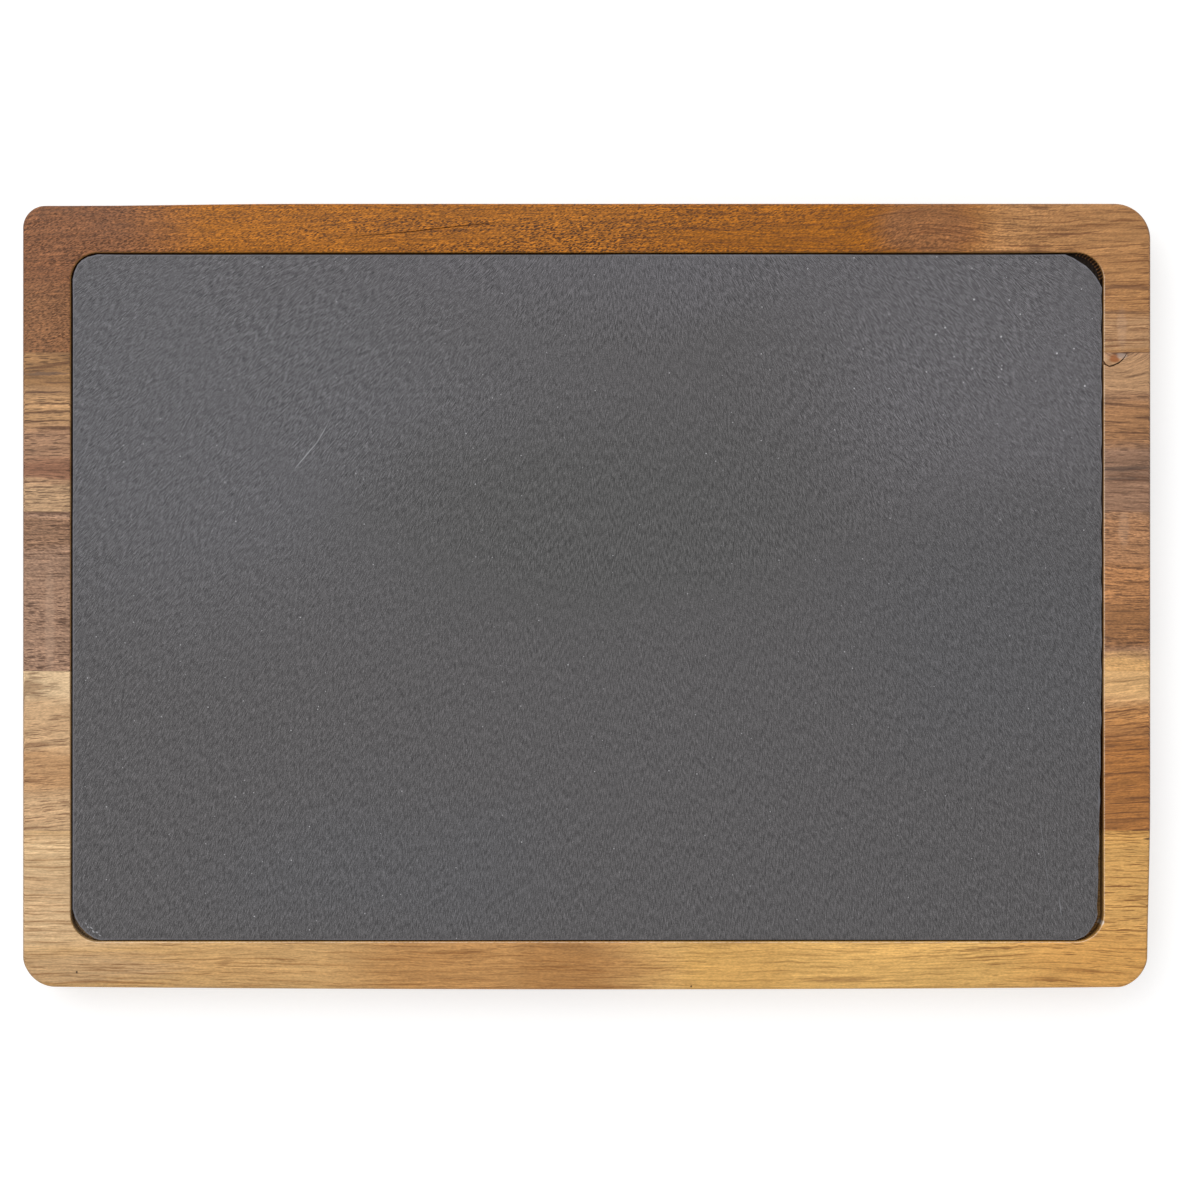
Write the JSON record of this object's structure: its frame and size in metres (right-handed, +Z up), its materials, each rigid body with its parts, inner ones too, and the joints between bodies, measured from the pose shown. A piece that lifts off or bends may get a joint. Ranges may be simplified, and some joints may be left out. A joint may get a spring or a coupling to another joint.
{
  "type": "slate serving board",
  "caption": "Rectangular acacia serving board with rounded corners and a routed recess that holds a lift-out slate plate, with a finger hole beneath.",
  "frame": {"origin": "middle of the board's footprint, on the surface that it rests on", "axes": "+X along the board's length to the right, +Y to the back, +Z up through the slate"},
  "size_m": [0.33, 0.23, 0.015],
  "materials": {
    "acacia_red_brown": "sanded and oiled, satin",
    "acacia_streaked": "sanded and oiled, satin",
    "acacia_grey_brown": "sanded and oiled, satin",
    "acacia_golden": "sanded and oiled, satin",
    "acacia_honey": "sanded and oiled, satin",
    "slate": "riven, matt"
  },
  "bodies": {
    "board": {"back_stave": "acacia_red_brown", "back_mid_stave": "acacia_streaked", "middle_stave": "acacia_grey_brown", "front_mid_stave": "acacia_golden", "front_stave": "acacia_honey"},
    "slate": {"slate_plate": "slate"}
  },
  "joints": [
    {"name": "slate_lift", "type": "slide", "parent": "board", "child": "slate", "axis": [0, 0, 1], "range_m": [0, 0.05]}
  ]
}
